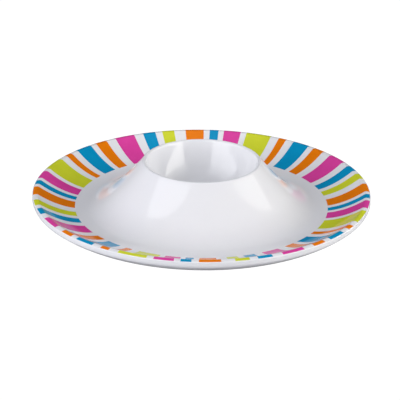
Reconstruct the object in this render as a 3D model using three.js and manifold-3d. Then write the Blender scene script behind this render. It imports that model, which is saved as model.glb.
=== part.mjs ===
// Chip and dip server: one thick moulded melamine plate with a raised dip bowl in its middle,
// a round trough for the chips, and a printed band of colour stripes round its wall and lip.
// Millimetres, +Z up, standing on its foot ring at z = 0 with its axis on the origin.
import * as THREE from "three";
import { mergeVertices } from "three/addons/utils/BufferGeometryUtils.js";
import Module from "manifold-3d";

// --- overall sizes ---
const RIM_RADIUS = 165.6;
const RIM_HEIGHT = 25.6; // crest of the lip
const BOWL_LIP_HEIGHT = 56; // top of the dip bowl, the highest line of the server

// --- rim and chip trough ---
const LIP_INNER_ROUND = 3.5; // from the wall up over the crest of the lip
const LIP_OUTER_ROUND = 10; // from the crest out to the edge
const LIP_FALL = 20; // degrees from level, where the lip meets the edge
const EDGE_ROUND = 1; // top corner of the edge
const EDGE_HEIGHT = 2.4; // upright part of the edge
const UNDER_ROUND = 4; // bottom corner of the edge
const WALL_LEAN = 35; // degrees from level, where the wall runs into the lip
const RIM_RUN = 52.6; // from the outer edge in to the lowest line of the trough
const TROUGH_HEIGHT = 8.7; // lowest line of the trough above the table

// --- raised dip bowl ---
const BOWL_RADIUS = 56.4; // middle of the rounded bowl lip
const BOWL_LIP_ROUND = 2.2;
const CONE_LEAN = 52; // degrees from level, outside of the cone just under the bowl lip
const BOWL_LEAN = 12; // degrees from upright, inside of the bowl just under its lip
const BOWL_DEPTH = 42;
const BOWL_FLOOR_RADIUS = 20; // flat middle of the bowl's floor

// --- underside ---
const FLOOR_THICKNESS = 4.8; // of the trough floor and the cone
const BOWL_THICKNESS = 4.4;
const UNDERSIDE_LEAN = 40; // degrees from level, underside of the rim next to its edge
const FOOT_WIDTH = 6;
const FOOT_CHAMFER = 0.8;
const FOOT_SET = 0.5; // from the lowest line of the trough out to the inside of the foot
const LIP_DEPTH = 10; // least depth of solid melamine under the bowl lip
const HOLLOW_END_WIDTH = 3; // least width of the closed end of the hollow under the cone
const HOLLOW_STEP = 0.25; // how finely that end is placed

// --- printed stripes: film areas set flush in shallow beds ---
const PRINT_EDGE = 0.7; // plain white left outside the print on the lip
const PRINT_WIDTH = 40.5; // measured straight in towards the axis
const PRINT_THICKNESS = 0.3;
const PRINT_CLEARANCE = 0.1; // round and under each film
const BED_HEADROOM = 1; // how far the cutter of a bed stands out of the wall
const QUARTERS = 4;
// Start and width in degrees, clockwise from the back, of the ten stripes of one quarter.
const STRIPES = [
  { colour: "orange", start: -6.4, width: 7.0 },
  { colour: "blue", start: 2.9, width: 3.4 },
  { colour: "pink", start: 8.4, width: 6.5 },
  { colour: "green", start: 17.2, width: 9.8 },
  { colour: "orange", start: 30.4, width: 3.1 },
  { colour: "blue", start: 36.8, width: 7.0 },
  { colour: "orange", start: 46.4, width: 4.9 },
  { colour: "pink", start: 55.3, width: 8.0 },
  { colour: "blue", start: 66.9, width: 4.9 },
  { colour: "green", start: 74.5, width: 4.7 },
];
const COLOURS = { orange: 0xe07d1e, blue: 0x1487b4, pink: 0xcf3f92, green: 0xb4c02c };
const MELAMINE_COLOUR = 0xe8e8ea;
const GLAZE_ROUGHNESS = 0.2;

// --- facets ---
const SEGMENTS = 60; // round the axis
const WALL_ROWS = 6; // across the printed band
const CURVE_ROWS = 6; // along each plain curve
const HOLLOW_ROWS = 8; // along each face of the hollow under the cone
const HOLLOW_ROW_HEIGHT = 1; // least height of the last row below the hollow's end
const LIP_ROWS = 5; // round the bowl lip
const WEDGE_REACH = 1.2; // of the rim's radius
const MERGE_DISTANCE = 1e-3;
const HALVINGS = 40; // of the search for a radius on the wall

const wasm = await Module();
wasm.setup();

const rad = THREE.MathUtils.degToRad;
const point = (r, z) => new THREE.Vector2(r, z);

// A point of a round of the given radius, at an angle in degrees from straight out.
function onRound(centre, radius, angle) {
  return point(
    centre.x + radius * Math.cos(rad(angle)),
    centre.y + radius * Math.sin(rad(angle)),
  );
}

function roundPoints(centre, radius, from, to, steps) {
  const points = [];
  for (let i = 0; i <= steps; i++)
    points.push(onRound(centre, radius, from + ((to - from) * i) / steps));
  return points;
}

// A curve that leaves the level line at `low` and reaches `high` at a lean from level.
function sweep(low, high, lean) {
  const run = (high.y - low.y) / Math.tan(rad(lean));
  const knee = point(high.x + (high.x > low.x ? -run : run), low.y);
  return new THREE.QuadraticBezierCurve(low, knee, high);
}

// The points of a curve moved sideways by a wall thickness.
function offsetPoints(curve, thickness, steps) {
  const points = [];
  for (let i = 0; i <= steps; i++) {
    const p = curve.getPoint(i / steps);
    const along = curve.getTangent(i / steps);
    points.push(point(p.x + along.y * thickness, p.y - along.x * thickness));
  }
  return points;
}

// The radius of a line of points where it passes a height.
function radiusAtHeight(points, height) {
  for (let i = 1; i < points.length; i++) {
    const [a, b] = [points[i - 1], points[i]];
    if ((a.y - height) * (b.y - height) <= 0 && a.y !== b.y)
      return a.x + ((b.x - a.x) * (height - a.y)) / (b.y - a.y);
  }
  return points[points.length - 1].x;
}

// --- the lines of the section, each shared by the pieces that follow it ---
const crestRadius =
  RIM_RADIUS - EDGE_ROUND - (LIP_OUTER_ROUND - EDGE_ROUND) * Math.sin(rad(LIP_FALL));
const lipInnerCentre = point(crestRadius, RIM_HEIGHT - LIP_INNER_ROUND);
const lipOuterCentre = point(crestRadius, RIM_HEIGHT - LIP_OUTER_ROUND);
const edgeCentre = onRound(lipOuterCentre, LIP_OUTER_ROUND - EDGE_ROUND, 90 - LIP_FALL);
const underCentre = point(RIM_RADIUS - UNDER_ROUND, edgeCentre.y - EDGE_HEIGHT);
const wallTop = onRound(lipInnerCentre, LIP_INNER_ROUND, 90 + WALL_LEAN);
const trough = point(RIM_RADIUS - RIM_RUN, TROUGH_HEIGHT);
const wall = sweep(trough, wallTop, WALL_LEAN);

const bowlLipCentre = point(BOWL_RADIUS, BOWL_LIP_HEIGHT - BOWL_LIP_ROUND);
const cone = sweep(trough, onRound(bowlLipCentre, BOWL_LIP_ROUND, 90 - CONE_LEAN), CONE_LEAN);
const bowlFloor = point(BOWL_FLOOR_RADIUS, BOWL_LIP_HEIGHT - BOWL_DEPTH);
const bowlWall = sweep(
  bowlFloor,
  onRound(bowlLipCentre, BOWL_LIP_ROUND, 180 - BOWL_LEAN),
  90 - BOWL_LEAN,
);

const printOuter = RIM_RADIUS - PRINT_EDGE;
const printInner = printOuter - PRINT_WIDTH;

// Height of the printed wall and lip at a radius.
function wallHeight(radius) {
  const outward = radius - crestRadius;
  if (outward > 0) return lipOuterCentre.y + Math.sqrt(LIP_OUTER_ROUND ** 2 - outward ** 2);
  if (radius > wallTop.x)
    return lipInnerCentre.y + Math.sqrt(LIP_INNER_ROUND ** 2 - outward ** 2);
  let [low, high] = [0, 1];
  for (let i = 0; i < HALVINGS; i++) {
    const middle = (low + high) / 2;
    if (wall.getPoint(middle).x < radius) low = middle;
    else high = middle;
  }
  return wall.getPoint(low).y;
}

// The radii of the rows across the printed band: even on the wall, three more on the lip.
function printRadii() {
  const radii = [];
  for (let i = 0; i <= WALL_ROWS; i++)
    radii.push(printInner + ((wallTop.x - printInner) * i) / WALL_ROWS);
  radii.push((wallTop.x + crestRadius) / 2, crestRadius, printOuter);
  return radii;
}

// --- from lines to solids ---
function revolve(points) {
  const geometry = new THREE.LatheGeometry(points, SEGMENTS);
  geometry.rotateX(Math.PI / 2);
  return toSolid(geometry);
}

function toSolid(geometry) {
  geometry.deleteAttribute("normal");
  geometry.deleteAttribute("uv");
  const merged = mergeVertices(geometry, MERGE_DISTANCE);
  return new wasm.Manifold(
    new wasm.Mesh({
      numProp: 3,
      vertProperties: merged.attributes.position.array,
      triVerts: new Uint32Array(merged.index.array),
    }),
  );
}

function toMesh(solid, name, colour) {
  const { vertProperties, triVerts } = solid.getMesh();
  const geometry = new THREE.BufferGeometry();
  geometry.setAttribute("position", new THREE.BufferAttribute(vertProperties, 3));
  geometry.setIndex(new THREE.BufferAttribute(triVerts, 1));
  geometry.computeVertexNormals();
  const material = new THREE.MeshStandardMaterial({
    color: colour,
    roughness: GLAZE_ROUGHNESS,
    metalness: 0,
  });
  const mesh = new THREE.Mesh(geometry, material);
  mesh.name = name;
  return mesh;
}

// --- the moulded plate, without the beds for its print ---
function plateSection() {
  const underHeight = TROUGH_HEIGHT - FLOOR_THICKNESS;
  const footInner = trough.x + FOOT_SET;
  const footOuter = footInner + FOOT_WIDTH;
  const edgeEnd = onRound(underCentre, UNDER_ROUND, UNDERSIDE_LEAN - 90);
  const rimUnder = sweep(point(footOuter, underHeight), edgeEnd, UNDERSIDE_LEAN);
  const coneUnder = offsetPoints(cone, -FLOOR_THICKNESS, HOLLOW_ROWS);
  const bowlOutside = offsetPoints(bowlWall, BOWL_THICKNESS, HOLLOW_ROWS);
  let hollowTop = BOWL_LIP_HEIGHT - LIP_DEPTH;
  const gapAt = (z) => radiusAtHeight(coneUnder, z) - radiusAtHeight(bowlOutside, z);
  while (gapAt(hollowTop) < HOLLOW_END_WIDTH) hollowTop -= HOLLOW_STEP;

  const bowlUnderHeight = bowlFloor.y - BOWL_THICKNESS;
  const below = (points) => points.filter((p) => p.y < hollowTop - HOLLOW_ROW_HEIGHT);
  return [
    point(0, bowlUnderHeight),
    ...below(bowlOutside),
    point(radiusAtHeight(bowlOutside, hollowTop), hollowTop),
    point(radiusAtHeight(coneUnder, hollowTop), hollowTop),
    ...below(coneUnder).reverse(),
    point(footInner, underHeight),
    point(footInner, FOOT_CHAMFER),
    point(footInner + FOOT_CHAMFER, 0),
    point(footOuter - FOOT_CHAMFER, 0),
    point(footOuter, FOOT_CHAMFER),
    ...rimUnder.getPoints(CURVE_ROWS),
    onRound(underCentre, UNDER_ROUND, (UNDERSIDE_LEAN - 90) / 2),
    point(RIM_RADIUS, underCentre.y),
    point(RIM_RADIUS, edgeCentre.y),
    onRound(edgeCentre, EDGE_ROUND, (90 - LIP_FALL) / 2),
    ...printRadii().reverse().map((r) => point(r, wallHeight(r))),
    point((printInner + trough.x) / 2, wallHeight((printInner + trough.x) / 2)),
    ...cone.getPoints(CURVE_ROWS),
    ...roundPoints(bowlLipCentre, BOWL_LIP_ROUND, 90 - CONE_LEAN, 180 - BOWL_LEAN, LIP_ROWS).slice(1, -1),
    ...bowlWall.getPoints(CURVE_ROWS).reverse(),
    point(0, bowlFloor.y),
  ];
}

// A ring that follows the printed band, from `above` over its surface to `below` under it.
function printRing(above, below, margin) {
  const radii = printRadii();
  radii[0] += margin;
  radii[radii.length - 1] -= margin;
  const top = radii.map((r) => point(r, wallHeight(r) + above));
  const bottom = radii.map((r) => point(r, wallHeight(r) - below));
  return revolve([...bottom, ...top.reverse(), bottom[0]]);
}

// A wedge of the circle between two angles in degrees, clockwise from the back.
function wedge(from, to) {
  const reach = RIM_RADIUS * WEDGE_REACH;
  const shape = new THREE.Shape([
    point(0, 0),
    point(reach * Math.sin(rad(from)), reach * Math.cos(rad(from))),
    point(reach * Math.sin(rad(to)), reach * Math.cos(rad(to))),
  ]);
  return toSolid(
    new THREE.ExtrudeGeometry(shape, { depth: RIM_HEIGHT * 2, bevelEnabled: false }),
  );
}

// --- the forty print areas and their beds ---
function printAreas() {
  const film = printRing(0, PRINT_THICKNESS, 0);
  const bed = printRing(BED_HEADROOM, PRINT_THICKNESS + PRINT_CLEARANCE, -PRINT_CLEARANCE);
  const slack = THREE.MathUtils.radToDeg(PRINT_CLEARANCE / printInner);
  const areas = [];
  for (let quarter = 0; quarter < QUARTERS; quarter++)
    STRIPES.forEach(({ colour, start, width }, i) => {
      const from = start + (quarter * 360) / QUARTERS;
      areas.push({
        name: `stripe_${quarter + 1}_${String(i + 1).padStart(2, "0")}_${colour}`,
        colour: COLOURS[colour],
        film: film.intersect(wedge(from, from + width)),
        bed: bed.intersect(wedge(from - slack, from + width + slack)),
      });
    });
  return areas;
}

const areas = printAreas();
let plate = revolve(plateSection());
for (const area of areas) plate = plate.subtract(area.bed);

const server = new THREE.Group();
server.name = "chip_and_dip_server";
server.add(toMesh(plate, "plate_body", MELAMINE_COLOUR));
for (const area of areas) server.add(toMesh(area.film, area.name, area.colour));

export default server;
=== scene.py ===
# Chip and dip server in glossy striped melamine, on a plain white floor in soft studio light.
# Metres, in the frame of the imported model: +Z up, the foot ring on z = 0, the axis through the origin.
from math import acos, atan2, cos, degrees, hypot, pi, radians, sin, tan

import bmesh
import bpy
from mathutils import Matrix, Vector


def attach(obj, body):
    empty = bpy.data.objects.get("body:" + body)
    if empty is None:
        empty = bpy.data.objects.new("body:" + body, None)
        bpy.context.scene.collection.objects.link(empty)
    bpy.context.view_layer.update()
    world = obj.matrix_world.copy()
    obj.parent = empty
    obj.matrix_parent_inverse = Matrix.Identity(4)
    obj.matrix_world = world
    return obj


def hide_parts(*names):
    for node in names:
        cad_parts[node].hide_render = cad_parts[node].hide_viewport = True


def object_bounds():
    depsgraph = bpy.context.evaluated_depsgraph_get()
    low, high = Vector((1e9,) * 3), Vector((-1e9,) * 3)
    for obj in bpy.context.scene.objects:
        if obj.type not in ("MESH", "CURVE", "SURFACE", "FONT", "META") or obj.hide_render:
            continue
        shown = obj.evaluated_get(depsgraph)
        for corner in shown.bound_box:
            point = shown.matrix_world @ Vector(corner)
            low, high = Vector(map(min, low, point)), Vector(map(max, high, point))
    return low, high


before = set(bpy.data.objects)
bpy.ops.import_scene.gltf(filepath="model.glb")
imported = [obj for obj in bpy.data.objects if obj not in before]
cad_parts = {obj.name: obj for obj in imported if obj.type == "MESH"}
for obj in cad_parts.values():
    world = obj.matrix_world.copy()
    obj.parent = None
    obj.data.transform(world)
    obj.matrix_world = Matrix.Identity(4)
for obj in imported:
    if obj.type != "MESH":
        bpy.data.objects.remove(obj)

CAD_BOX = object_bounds()
SERVER_TOP = CAD_BOX[1]

# --- sizes of the section, in metres ---
RIM_RADIUS = SERVER_TOP.y
BOWL_LIP_HEIGHT = SERVER_TOP.z
RIM_HEIGHT = 0.0256
LIP_INNER_ROUND = 0.0035
LIP_OUTER_ROUND = 0.010
LIP_FALL = 20
EDGE_ROUND = 0.001
EDGE_HEIGHT = 0.0024
UNDER_ROUND = 0.004
WALL_LEAN = 35
RIM_RUN = 0.0526
TROUGH_HEIGHT = 0.0087
BOWL_RADIUS = 0.0564
BOWL_LIP_ROUND = 0.0022
CONE_LEAN = 52
BOWL_LEAN = 12
BOWL_DEPTH = 0.042
BOWL_FLOOR_RADIUS = 0.020
FLOOR_THICKNESS = 0.0048
BOWL_THICKNESS = 0.0044
UNDERSIDE_LEAN = 40
FOOT_WIDTH = 0.006
FOOT_ROUND = 0.0012
FOOT_SET = 0.0005
FOOT_FILLET = 0.0015
HOLLOW_TOP = 0.046
HOLLOW_END_RISE = 0.002

# --- the print ---
PRINT_EDGE = 0.0007
PRINT_WIDTH = 0.0405
PRINT_PROUD = 0.00004
PRINT_DEPTH = 0.00025
PRINT_START_GAP = 0.0005

# --- how fine the meshes are ---
TOUCHING = 1e-7
TURNS = 240
FILM_STEP = radians(360 / TURNS)
CURVE_STEPS = 26
FACE_STEPS = 40
EDGE_STEPS = 8
FOOT_STEPS = 6
FILLET_STEPS = 5
BOWL_LIP_STEPS = 18
HOLLOW_STEPS = 10
WALL_STEPS = 30
LIP_STEPS = 8
HALVINGS = 40


# ---------------------------------------------------------------- section lines
def on_round(centre, radius, angle):
    """A point of a round, at an angle in degrees from straight out."""
    return (centre[0] + radius * cos(radians(angle)), centre[1] + radius * sin(radians(angle)))


def round_points(centre, radius, start, end, steps):
    return [on_round(centre, radius, start + (end - start) * i / steps) for i in range(steps + 1)]


class Sweep:
    """A curve that leaves the level line at its low end and reaches its high end at a lean."""

    def __init__(self, low, high, lean):
        run = (high[1] - low[1]) / tan(radians(lean))
        knee = (high[0] + (-run if high[0] > low[0] else run), low[1])
        self.corners = (low, knee, high)

    def point(self, t):
        a, b, c = self.corners
        return tuple(a[i] * (1 - t) ** 2 + 2 * b[i] * t * (1 - t) + c[i] * t * t for i in (0, 1))

    def points(self, steps=CURVE_STEPS):
        return [self.point(i / steps) for i in range(steps + 1)]

    def normal(self, t):
        """The unit normal on the left of the curve."""
        a, b, c = self.corners
        dr, dz = ((b[k] - a[k]) * (1 - t) + (c[k] - b[k]) * t for k in (0, 1))
        size = hypot(dr, dz)
        return (-dz / size, dr / size)

    def offset(self, thickness, steps=CURVE_STEPS):
        """The curve's points moved to its right by a wall thickness."""
        moved = []
        for i in range(steps + 1):
            (r, z), (nr, nz) = self.point(i / steps), self.normal(i / steps)
            moved.append((r - nr * thickness, z - nz * thickness))
        return moved


crest_radius = RIM_RADIUS - EDGE_ROUND - (LIP_OUTER_ROUND - EDGE_ROUND) * sin(radians(LIP_FALL))
lip_inner_centre = (crest_radius, RIM_HEIGHT - LIP_INNER_ROUND)
lip_outer_centre = (crest_radius, RIM_HEIGHT - LIP_OUTER_ROUND)
edge_centre = on_round(lip_outer_centre, LIP_OUTER_ROUND - EDGE_ROUND, 90 - LIP_FALL)
under_centre = (RIM_RADIUS - UNDER_ROUND, edge_centre[1] - EDGE_HEIGHT)
wall_top = on_round(lip_inner_centre, LIP_INNER_ROUND, 90 + WALL_LEAN)
trough = (RIM_RADIUS - RIM_RUN, TROUGH_HEIGHT)
wall = Sweep(trough, wall_top, WALL_LEAN)

bowl_lip_centre = (BOWL_RADIUS, BOWL_LIP_HEIGHT - BOWL_LIP_ROUND)
cone = Sweep(trough, on_round(bowl_lip_centre, BOWL_LIP_ROUND, 90 - CONE_LEAN), CONE_LEAN)
bowl_floor = (BOWL_FLOOR_RADIUS, BOWL_LIP_HEIGHT - BOWL_DEPTH)
bowl_wall = Sweep(bowl_floor, on_round(bowl_lip_centre, BOWL_LIP_ROUND, 180 - BOWL_LEAN), 90 - BOWL_LEAN)

print_outer = RIM_RADIUS - PRINT_EDGE
print_inner = print_outer - PRINT_WIDTH


def printed_line():
    """The upper face from the inner to the outer side of the print, as points with their normals."""
    low, high = 0.0, 1.0
    for _ in range(HALVINGS):
        middle = (low + high) / 2
        if wall.point(middle)[0] < print_inner:
            low = middle
        else:
            high = middle
    line = []
    for i in range(WALL_STEPS + 1):
        t = low + (1 - low) * i / WALL_STEPS
        line.append((wall.point(t), wall.normal(t)))
    outer_angle = degrees(acos((print_outer - crest_radius) / LIP_OUTER_ROUND))
    for centre, radius, start, end in (
        (lip_inner_centre, LIP_INNER_ROUND, 90 + WALL_LEAN, 90),
        (lip_outer_centre, LIP_OUTER_ROUND, 90, outer_angle),
    ):
        for i in range(1, LIP_STEPS + 1):
            angle = start + (end - start) * i / LIP_STEPS
            line.append((on_round(centre, radius, angle), on_round((0, 0), 1, angle)))
    return line


PRINTED_LINE = printed_line()


# ---------------------------------------------------------------- meshes
def mesh_piece(name, bm, sharp=35):
    """A piece from a bmesh: smooth, except where two faces meet at more than the sharp angle."""
    bmesh.ops.remove_doubles(bm, verts=bm.verts, dist=TOUCHING)
    bmesh.ops.recalc_face_normals(bm, faces=bm.faces)
    for face in bm.faces:
        face.smooth = True
    for edge in bm.edges:
        if edge.is_manifold and edge.calc_face_angle() > radians(sharp):
            edge.smooth = False
    mesh = bpy.data.meshes.new(name)
    bm.to_mesh(mesh)
    bm.free()
    piece = bpy.data.objects.new(name, mesh)
    bpy.context.collection.objects.link(piece)
    return piece


def at(radius, azimuth, height):
    """A place from its radius, its azimuth clockwise from the back, and its height."""
    return Vector((radius * sin(azimuth), radius * cos(azimuth), height))


def revolved(name, section):
    """A closed solid of revolution from a section that starts and ends on the axis."""
    bm = bmesh.new()
    rings = []
    for radius, height in section:
        if radius < TOUCHING:
            rings.append([bm.verts.new((0, 0, height))] * TURNS)
        else:
            rings.append([bm.verts.new(at(radius, 2 * pi * k / TURNS, height)) for k in range(TURNS)])
    for inner, outer in zip(rings, rings[1:]):
        for k in range(TURNS):
            n = (k + 1) % TURNS
            corners = []
            for vert in (inner[k], inner[n], outer[n], outer[k]):
                if vert not in corners:
                    corners.append(vert)
            bm.faces.new(corners)
    return mesh_piece(name, bm)


def plate_section():
    """The outline of the moulding, from the middle of its underside round to the bowl's floor."""
    under = TROUGH_HEIGHT - FLOOR_THICKNESS
    foot_in = trough[0] + FOOT_SET
    foot_out = foot_in + FOOT_WIDTH
    edge_end = on_round(under_centre, UNDER_ROUND, UNDERSIDE_LEAN - 90)
    rim_under = Sweep((foot_out + FOOT_FILLET, under), edge_end, UNDERSIDE_LEAN)
    hollow_end_start = HOLLOW_TOP - HOLLOW_END_RISE
    cone_under = [p for p in cone.offset(-FLOOR_THICKNESS) if p[1] < hollow_end_start]
    bowl_outside = [p for p in bowl_wall.offset(BOWL_THICKNESS) if p[1] < hollow_end_start]
    end_radius = (cone_under[-1][0] + bowl_outside[-1][0]) / 2
    end_half = (cone_under[-1][0] - bowl_outside[-1][0]) / 2
    hollow_end = [
        (end_radius - end_half * cos(a), hollow_end_start + HOLLOW_END_RISE * sin(a))
        for a in (pi * i / HOLLOW_STEPS for i in range(1, HOLLOW_STEPS))
    ]
    return [
        (0, bowl_floor[1] - BOWL_THICKNESS),
        *bowl_outside,
        *hollow_end,
        *reversed(cone_under),
        *round_points((foot_in - FOOT_FILLET, under - FOOT_FILLET), FOOT_FILLET, 90, 0, FILLET_STEPS)[1:],
        *round_points((foot_in + FOOT_ROUND, FOOT_ROUND), FOOT_ROUND, 180, 270, FOOT_STEPS),
        *round_points((foot_out - FOOT_ROUND, FOOT_ROUND), FOOT_ROUND, 270, 360, FOOT_STEPS),
        *round_points(
            (foot_out + FOOT_FILLET, under - FOOT_FILLET), FOOT_FILLET, 180, 90, FILLET_STEPS
        )[:-1],
        *rim_under.points(),
        *round_points(under_centre, UNDER_ROUND, UNDERSIDE_LEAN - 90, 0, EDGE_STEPS)[1:],
        *round_points(edge_centre, EDGE_ROUND, 0, 90 - LIP_FALL, EDGE_STEPS),
        *(place for place, normal in reversed(PRINTED_LINE)),
        *reversed([p for p in wall.points(FACE_STEPS) if p[0] < print_inner - PRINT_START_GAP]),
        *cone.points(FACE_STEPS)[1:],
        *round_points(
            bowl_lip_centre, BOWL_LIP_ROUND, 90 - CONE_LEAN, 180 - BOWL_LEAN, BOWL_LIP_STEPS
        )[1:-1],
        *reversed(bowl_wall.points(FACE_STEPS)),
        (0, bowl_floor[1]),
    ]


def film_span(node):
    """First and last azimuth of a packed stripe, clockwise from the back."""
    verts = [v.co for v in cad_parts[node].data.vertices]
    middle = sum(verts, Vector()) / len(verts)
    centre = atan2(middle.x, middle.y)
    turned = []
    for v in verts:
        across = v.x * cos(centre) - v.y * sin(centre)
        along = v.x * sin(centre) + v.y * cos(centre)
        turned.append(atan2(across, along))
    return centre + min(turned), centre + max(turned)


def print_film(name, start, end):
    """A thin closed film that follows the wall and lip between two azimuths."""
    bm = bmesh.new()
    columns = max(2, round((end - start) / FILM_STEP))
    rows = len(PRINTED_LINE) - 1
    layers = []
    for lift in (PRINT_PROUD, -PRINT_DEPTH):
        layers.append(
            [
                [
                    bm.verts.new(at(r + nr * lift, start + (end - start) * k / columns, z + nz * lift))
                    for k in range(columns + 1)
                ]
                for (r, z), (nr, nz) in PRINTED_LINE
            ]
        )
    for layer in layers:
        for i in range(rows):
            for k in range(columns):
                bm.faces.new((layer[i][k], layer[i][k + 1], layer[i + 1][k + 1], layer[i + 1][k]))
    top, bottom = layers
    rim_loop = (
        [(0, k) for k in range(columns)]
        + [(i, columns) for i in range(rows)]
        + [(rows, k) for k in range(columns, 0, -1)]
        + [(i, 0) for i in range(rows, 0, -1)]
    )
    for (i, k), (m, n) in zip(rim_loop, rim_loop[1:] + rim_loop[:1]):
        bm.faces.new((top[i][k], top[m][n], bottom[m][n], bottom[i][k]))
    return mesh_piece(name, bm)


# ---------------------------------------------------------------- node helpers
class Nodes:
    """Adds and links shader nodes in one tree."""

    def __init__(self, tree):
        self.tree = tree

    def add(self, kind, **values):
        node = self.tree.nodes.new(kind)
        for key, value in values.items():
            setattr(node, key, value)
        return node

    def link(self, source, target):
        self.tree.links.new(source, target)


def shader_group(name, inputs, outputs):
    """An empty shader group with float or colour inputs and float, vector or colour outputs."""
    tree = bpy.data.node_groups.new(name, "ShaderNodeTree")
    for label, value in inputs:
        kind = "NodeSocketFloat" if isinstance(value, (int, float)) else "NodeSocketColor"
        socket = tree.interface.new_socket(label, in_out="INPUT", socket_type=kind)
        socket.default_value = value
    for label, kind in outputs:
        tree.interface.new_socket(label, in_out="OUTPUT", socket_type=kind)
    nodes = Nodes(tree)
    return tree, nodes, nodes.add("NodeGroupInput"), nodes.add("NodeGroupOutput")


def noise(nodes, place, scale, detail=3.0, roughness=0.5):
    texture = nodes.add("ShaderNodeTexNoise")
    texture.inputs["Scale"].default_value = scale
    texture.inputs["Detail"].default_value = detail
    texture.inputs["Roughness"].default_value = roughness
    nodes.link(place, texture.inputs["Vector"])
    return texture.outputs["Fac"]


def ranged(nodes, value, low, high, out_low, out_high):
    remap = nodes.add("ShaderNodeMapRange")
    remap.inputs["From Min"].default_value = low
    remap.inputs["From Max"].default_value = high
    remap.inputs["To Min"].default_value = out_low
    remap.inputs["To Max"].default_value = out_high
    nodes.link(value, remap.inputs["Value"])
    return remap.outputs["Result"]


def maths(nodes, operation, first, second):
    node = nodes.add("ShaderNodeMath", operation=operation)
    for socket, value in zip(node.inputs, (first, second)):
        if isinstance(value, (int, float)):
            socket.default_value = value
        else:
            nodes.link(value, socket)
    return node.outputs["Value"]


# ---------------------------------------------------------------- effects shared by the finishes
def pressed_gloss_group():
    """The slight unevenness of a pressed, polished moulding: its height and how dull it is."""
    tree, nodes, given, out = shader_group(
        "pressed_gloss",
        [("Roughness", 0.12), ("Scuffs", 0.05)],
        [("Roughness", "NodeSocketFloat"), ("Height", "NodeSocketFloat"), ("Mottle", "NodeSocketFloat")],
    )
    place = nodes.add("ShaderNodeTexCoord").outputs["Object"]
    wave = noise(nodes, place, 22, 1.5)
    peel = noise(nodes, place, 420, 2.0)
    smear = noise(nodes, place, 60, 4.0, 0.6)
    fine = noise(nodes, place, 2600, 2.0)
    dull = maths(nodes, "MULTIPLY", ranged(nodes, smear, 0.45, 0.75, 0, 1), given.outputs["Scuffs"])
    grain = ranged(nodes, fine, 0.3, 0.7, -0.012, 0.012)
    rough = maths(nodes, "ADD", maths(nodes, "ADD", given.outputs["Roughness"], dull), grain)
    nodes.link(rough, out.inputs["Roughness"])
    height = maths(nodes, "ADD", wave, maths(nodes, "MULTIPLY", peel, 0.035))
    nodes.link(height, out.inputs["Height"])
    nodes.link(ranged(nodes, smear, 0.3, 0.7, 0, 1), out.inputs["Mottle"])
    return tree


def gloss_surface(name, colour, deeper, roughness, scuffs, bump):
    """A glazed melamine finish whose colour wanders slightly between two close shades."""
    material = bpy.data.materials.new(name)
    material.use_nodes = True
    nodes = Nodes(material.node_tree)
    surface = material.node_tree.nodes["Principled BSDF"]
    gloss = nodes.add("ShaderNodeGroup")
    gloss.node_tree = PRESSED_GLOSS
    gloss.inputs["Roughness"].default_value = roughness
    gloss.inputs["Scuffs"].default_value = scuffs
    shade = nodes.add("ShaderNodeMix", data_type="RGBA")
    shade.inputs["A"].default_value = (*colour, 1)
    shade.inputs["B"].default_value = (*deeper, 1)
    nodes.link(gloss.outputs["Mottle"], shade.inputs["Factor"])
    bumps = nodes.add("ShaderNodeBump")
    bumps.inputs["Strength"].default_value = 1.0
    bumps.inputs["Distance"].default_value = bump
    nodes.link(gloss.outputs["Height"], bumps.inputs["Height"])
    nodes.link(shade.outputs["Result"], surface.inputs["Base Color"])
    nodes.link(gloss.outputs["Roughness"], surface.inputs["Roughness"])
    nodes.link(bumps.outputs["Normal"], surface.inputs["Normal"])
    surface.inputs["IOR"].default_value = 1.5
    return material


PRESSED_GLOSS = pressed_gloss_group()
GLAZE_ROUGHNESS = 0.045
GLAZE_SCUFFS = 0.03
GLAZE_RIPPLE = 0.00001
GLAZE = (GLAZE_ROUGHNESS, GLAZE_SCUFFS, GLAZE_RIPPLE)
white_melamine = gloss_surface("white_melamine", (0.78, 0.78, 0.80), (0.77, 0.77, 0.795), *GLAZE)
PRINT_FINISHES = {
    "orange": ((0.82, 0.205, 0.003), (0.77, 0.18, 0.002)),
    "blue": ((0.002, 0.285, 0.535), (0.002, 0.26, 0.495)),
    "pink": ((0.72, 0.058, 0.345), (0.67, 0.050, 0.31)),
    "green": ((0.62, 0.66, 0.032), (0.57, 0.62, 0.027)),
}
print_finish = {
    colour: gloss_surface(f"{colour}_print", light, deep, *GLAZE)
    for colour, (light, deep) in PRINT_FINISHES.items()
}


# ---------------------------------------------------------------- the server
def make_plate():
    plate = revolved("melamine_plate", plate_section())
    plate.data.materials.append(white_melamine)
    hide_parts("plate_body")
    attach(plate, "root")


def make_prints():
    for node in sorted(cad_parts):
        if not node.startswith("stripe_"):
            continue
        colour = node.rsplit("_", 1)[1]
        film = print_film(node.replace("stripe", "print"), *film_span(node))
        film.data.materials.append(print_finish[colour])
        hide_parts(node)
        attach(film, "root")


make_plate()
make_prints()

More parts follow.
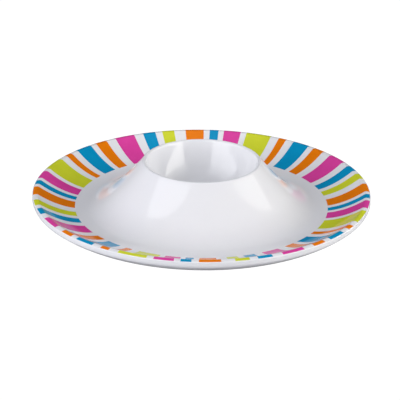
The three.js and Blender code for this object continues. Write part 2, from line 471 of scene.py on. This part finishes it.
# ---------------------------------------------------------------- studio
FLOOR_REACH = 6.0
FLOOR_DROP = 0.0002
FLOOR_CARD = (0.46, 0.46, 0.48, 1)
BOX_DISTANCE = 1.6
SHEEN_DISTANCE = 1.57
SURROUND_GLOW = 0.48
MIRRORED_GLOW = 0.02
MIRRORED_OVERHEAD = 0.25
OVERHEAD_STARTS = 0.88
OVERHEAD_FULL = 0.99
WHITE_BACKGROUND = 1.05
SURROUND_TINT = (0.90, 0.92, 1.0, 1)
LEFT_FACING = -52
LEFT_SIDES = (-92, -22)
LEFT_TINT = (0.98, 0.98, 1.0)
LEFT_HIGH_TINT = (0.97, 0.98, 1.0)
RIGHT_FACING = 65
RIGHT_SIDES = (41, 115)
RIGHT_TINT = (1.0, 0.985, 0.93)
RIGHT_HIGH_TINT = (1.0, 0.985, 0.91)
VIEW_ELEVATION = 23.01
VIEW_DISTANCE = 1.5376
VIEW_LENS = 140.8
VIEW_ROLL = 0.61
AIM_LEFT = 0.0014
AIM_DROP = 0.01048


def make_floor():
    bm = bmesh.new()
    bmesh.ops.create_grid(bm, x_segments=8, y_segments=8, size=FLOOR_REACH)
    floor = mesh_piece("studio_floor", bm)
    material = bpy.data.materials.new("white_sweep")
    material.use_nodes = True
    nodes = Nodes(material.node_tree)
    tree = material.node_tree
    tree.nodes.remove(tree.nodes["Principled BSDF"])
    out = tree.nodes["Material Output"]
    card = nodes.add("ShaderNodeBsdfDiffuse")
    card.inputs["Color"].default_value = FLOOR_CARD
    glow = nodes.add("ShaderNodeEmission")
    glow.inputs["Color"].default_value = (1, 1, 1, 1)
    glow.inputs["Strength"].default_value = WHITE_BACKGROUND
    path = nodes.add("ShaderNodeLightPath")
    mix = nodes.add("ShaderNodeMixShader")
    nodes.link(path.outputs["Is Camera Ray"], mix.inputs["Fac"])
    nodes.link(card.outputs["BSDF"], mix.inputs[1])
    nodes.link(glow.outputs["Emission"], mix.inputs[2])
    nodes.link(mix.outputs["Shader"], out.inputs["Surface"])
    floor.data.materials.append(material)
    floor.location.z = -FLOOR_DROP


def make_surround():
    world = bpy.data.worlds.new("white_studio")
    bpy.context.scene.world = world
    world.use_nodes = True
    nodes = Nodes(world.node_tree)
    tree = world.node_tree
    tree.nodes.clear()
    out = nodes.add("ShaderNodeOutputWorld")
    seen = nodes.add("ShaderNodeBackground")
    seen.inputs["Color"].default_value = (1, 1, 1, 1)
    seen.inputs["Strength"].default_value = WHITE_BACKGROUND
    lit = nodes.add("ShaderNodeBackground")
    lit.inputs["Color"].default_value = SURROUND_TINT
    lit.inputs["Strength"].default_value = SURROUND_GLOW
    mirrored = nodes.add("ShaderNodeBackground")
    mirrored.inputs["Color"].default_value = SURROUND_TINT
    outlook = nodes.add("ShaderNodeTexCoord").outputs["Generated"]
    upward = nodes.add("ShaderNodeSeparateXYZ")
    nodes.link(outlook, upward.inputs["Vector"])
    height = upward.outputs["Z"]
    glow = ranged(nodes, height, OVERHEAD_STARTS, OVERHEAD_FULL, MIRRORED_GLOW, MIRRORED_OVERHEAD)
    nodes.link(glow, mirrored.inputs["Strength"])
    path = nodes.add("ShaderNodeLightPath")
    unseen = nodes.add("ShaderNodeMixShader")
    nodes.link(path.outputs["Is Glossy Ray"], unseen.inputs["Fac"])
    nodes.link(lit.outputs["Background"], unseen.inputs[1])
    nodes.link(mirrored.outputs["Background"], unseen.inputs[2])
    mix = nodes.add("ShaderNodeMixShader")
    nodes.link(path.outputs["Is Camera Ray"], mix.inputs["Fac"])
    nodes.link(unseen.outputs["Shader"], mix.inputs[1])
    nodes.link(seen.outputs["Background"], mix.inputs[2])
    nodes.link(mix.outputs["Shader"], out.inputs["Surface"])


def softbox(name, facing, sides, ends, glow, colour, lights_up=True):
    """An upright soft light that faces the server's axis.

    One that lights nothing up stands just in front of the others and only shows in the gloss.

    Angles are in degrees, as seen from the axis: azimuths to the right of the camera's side for the
    way it faces and for its two upright sides, and elevations for its lower and upper ends.
    """
    distance = BOX_DISTANCE if lights_up else SHEEN_DISTANCE
    reach = [distance * tan(radians(side - facing)) for side in sides]
    heights = [distance * tan(radians(end)) for end in ends]
    light = bpy.data.lights.new(name, "AREA")
    light.shape = "RECTANGLE"
    light.size = reach[1] - reach[0]
    light.size_y = heights[1] - heights[0]
    light.color = colour
    light.energy = pi * light.size * light.size_y * glow
    lamp = bpy.data.objects.new(name, light)
    bpy.context.collection.objects.link(lamp)
    lamp.visible_diffuse = lights_up
    outward = Vector((sin(radians(facing)), -cos(radians(facing)), 0))
    along = Vector((cos(radians(facing)), sin(radians(facing)), 0))
    lamp.location = distance * outward + sum(reach) / 2 * along + Vector((0, 0, sum(heights) / 2))
    lamp.rotation_euler = (-outward).to_track_quat("-Z", "Y").to_euler()
    return lamp


def make_lights():
    left = (LEFT_FACING, LEFT_SIDES)
    right = (RIGHT_FACING, RIGHT_SIDES)
    softbox("left_softbox_low", *left, (0, 32), 2.6, LEFT_TINT)
    softbox("left_softbox_high", *left, (32, 55), 1.85, LEFT_HIGH_TINT)
    softbox("right_softbox_low", *right, (0, 28), 3.2, RIGHT_TINT)
    softbox("right_softbox_high", *right, (28, 44), 1.7, RIGHT_HIGH_TINT)
    softbox("left_sheen", *left, (0, 40), 0.9, LEFT_TINT, lights_up=False)
    softbox("right_sheen", *right, (0, 30), 1.8, RIGHT_TINT, lights_up=False)


def make_camera():
    data = bpy.data.cameras.new("camera")
    data.lens = VIEW_LENS
    data.sensor_width = 36
    camera = bpy.data.objects.new("camera", data)
    bpy.context.collection.objects.link(camera)
    e = radians(VIEW_ELEVATION)
    centre = Vector((0, 0, edge_centre[1] + EDGE_ROUND))
    camera.location = centre + VIEW_DISTANCE * Vector((0, -cos(e), sin(e)))
    target = centre + Vector((-AIM_LEFT, -AIM_DROP * sin(e), -AIM_DROP * cos(e)))
    turn = (target - camera.location).to_track_quat("-Z", "Y")
    camera.rotation_euler = (turn.to_matrix() @ Matrix.Rotation(radians(VIEW_ROLL), 3, "Z")).to_euler()
    bpy.context.scene.camera = camera


make_floor()
make_surround()
make_lights()
make_camera()
bpy.context.scene.view_settings.view_transform = "Standard"
